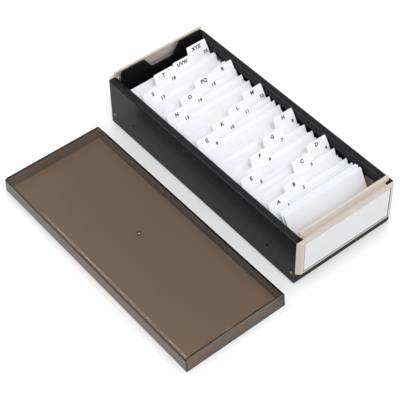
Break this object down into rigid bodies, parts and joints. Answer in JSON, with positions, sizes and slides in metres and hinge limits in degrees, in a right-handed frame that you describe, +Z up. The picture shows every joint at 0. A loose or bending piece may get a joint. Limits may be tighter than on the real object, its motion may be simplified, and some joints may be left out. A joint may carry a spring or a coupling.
{
  "type": "business card file box",
  "caption": "Long folded-sheet card tray with moulded end caps that hold labels, a notched back plate, lettered tab dividers with cards, and a smoke lid lying beside it.",
  "frame": {"origin": "middle of the tray's flat underside", "axes": "+X to the right as the front label is read, +Y to the rear end, +Z up"},
  "size_m": [0.2438, 0.2798, 0.0647],
  "materials": {
    "black_sheet": "satin black paint on folded steel sheet",
    "cream_plastic": "smooth moulded plastic, warm cream grey",
    "label_card": "blank white label",
    "black_plate": "black moulded plate",
    "smoke_plastic": "clear plastic with a brown smoke tint",
    "divider_board": "white index board",
    "card_paper": "white card"
  },
  "bodies": {
    "case": {"tray": "black_sheet", "front_cap": "cream_plastic", "rear_cap": "cream_plastic"},
    "lid_cover": {"lid": "smoke_plastic"},
    "front_name_card": {"front_label": "label_card"},
    "rear_name_card": {"rear_label": "label_card"},
    "follower": {"back_plate": "black_plate"},
    "section_front": {"front_sheets": "card_paper", "front_cards": "card_paper"},
    "section_a": {"divider_a": "divider_board", "cards_a": "card_paper"},
    "section_b": {"divider_b": "divider_board", "cards_b": "card_paper"},
    "section_c": {"divider_c": "divider_board", "cards_c": "card_paper"},
    "section_d": {"divider_d": "divider_board", "cards_d": "card_paper"},
    "section_e": {"divider_e": "divider_board", "cards_e": "card_paper"},
    "section_f": {"divider_f": "divider_board", "cards_f": "card_paper"},
    "section_g": {"divider_g": "divider_board", "cards_g": "card_paper"},
    "section_h": {"divider_h": "divider_board", "cards_h": "card_paper"},
    "section_ij": {"divider_ij": "divider_board", "cards_ij": "card_paper"},
    "section_k": {"divider_k": "divider_board", "cards_k": "card_paper"},
    "section_l": {"divider_l": "divider_board", "cards_l": "card_paper"},
    "section_m": {"divider_m": "divider_board", "cards_m": "card_paper"},
    "section_n": {"divider_n": "divider_board", "cards_n": "card_paper"},
    "section_o": {"divider_o": "divider_board", "cards_o": "card_paper"},
    "section_pq": {"divider_pq": "divider_board"},
    "section_r": {"divider_r": "divider_board", "cards_r": "card_paper"},
    "section_s": {"divider_s": "divider_board", "cards_s": "card_paper"},
    "section_t": {"divider_t": "divider_board"},
    "section_uvw": {"divider_uvw": "divider_board", "cards_uvw": "card_paper"},
    "section_xyz": {"divider_xyz": "divider_board"}
  },
  "joints": [
    {"name": "lid_lift", "type": "slide", "parent": "case", "child": "lid_cover", "axis": [0, 0, 1], "range_m": [0, 0.1]},
    {"name": "front_label_slide", "type": "slide", "parent": "case", "child": "front_name_card", "axis": [0, -1, 0], "range_m": [0, 0.02]},
    {"name": "rear_label_slide", "type": "slide", "parent": "case", "child": "rear_name_card", "axis": [0, 1, 0], "range_m": [0, 0.02]},
    {"name": "back_plate_slide", "type": "slide", "parent": "case", "child": "follower", "axis": [0, 1, 0], "range_m": [0, 0.004]},
    {"name": "section_front_lift", "type": "slide", "parent": "case", "child": "section_front", "axis": [0, 0.4617, 0.887], "range_m": [0, 0.045]},
    {"name": "section_a_lift", "type": "slide", "parent": "case", "child": "section_a", "axis": [0, 0.4617, 0.887], "range_m": [0, 0.045]},
    {"name": "section_b_lift", "type": "slide", "parent": "case", "child": "section_b", "axis": [0, 0.4617, 0.887], "range_m": [0, 0.045]},
    {"name": "section_c_lift", "type": "slide", "parent": "case", "child": "section_c", "axis": [0, 0.4617, 0.887], "range_m": [0, 0.045]},
    {"name": "section_d_lift", "type": "slide", "parent": "case", "child": "section_d", "axis": [0, 0.4617, 0.887], "range_m": [0, 0.045]},
    {"name": "section_e_lift", "type": "slide", "parent": "case", "child": "section_e", "axis": [0, 0.4617, 0.887], "range_m": [0, 0.045]},
    {"name": "section_f_lift", "type": "slide", "parent": "case", "child": "section_f", "axis": [0, 0.4617, 0.887], "range_m": [0, 0.045]},
    {"name": "section_g_lift", "type": "slide", "parent": "case", "child": "section_g", "axis": [0, 0.4617, 0.887], "range_m": [0, 0.045]},
    {"name": "section_h_lift", "type": "slide", "parent": "case", "child": "section_h", "axis": [0, 0.4617, 0.887], "range_m": [0, 0.045]},
    {"name": "section_ij_lift", "type": "slide", "parent": "case", "child": "section_ij", "axis": [0, 0.4617, 0.887], "range_m": [0, 0.045]},
    {"name": "section_k_lift", "type": "slide", "parent": "case", "child": "section_k", "axis": [0, 0.4617, 0.887], "range_m": [0, 0.045]},
    {"name": "section_l_lift", "type": "slide", "parent": "case", "child": "section_l", "axis": [0, 0.4617, 0.887], "range_m": [0, 0.045]},
    {"name": "section_m_lift", "type": "slide", "parent": "case", "child": "section_m", "axis": [0, 0.4617, 0.887], "range_m": [0, 0.045]},
    {"name": "section_n_lift", "type": "slide", "parent": "case", "child": "section_n", "axis": [0, 0.4617, 0.887], "range_m": [0, 0.045]},
    {"name": "section_o_lift", "type": "slide", "parent": "case", "child": "section_o", "axis": [0, 0.4617, 0.887], "range_m": [0, 0.045]},
    {"name": "section_pq_lift", "type": "slide", "parent": "case", "child": "section_pq", "axis": [0, 0.4617, 0.887], "range_m": [0, 0.045]},
    {"name": "section_r_lift", "type": "slide", "parent": "case", "child": "section_r", "axis": [0, 0.4617, 0.887], "range_m": [0, 0.045]},
    {"name": "section_s_lift", "type": "slide", "parent": "case", "child": "section_s", "axis": [0, 0.4617, 0.887], "range_m": [0, 0.045]},
    {"name": "section_t_lift", "type": "slide", "parent": "case", "child": "section_t", "axis": [0, 0.4617, 0.887], "range_m": [0, 0.045]},
    {"name": "section_uvw_lift", "type": "slide", "parent": "case", "child": "section_uvw", "axis": [0, 0.4617, 0.887], "range_m": [0, 0.045]},
    {"name": "section_xyz_lift", "type": "slide", "parent": "case", "child": "section_xyz", "axis": [0, 0.4617, 0.887], "range_m": [0, 0.045]}
  ]
}
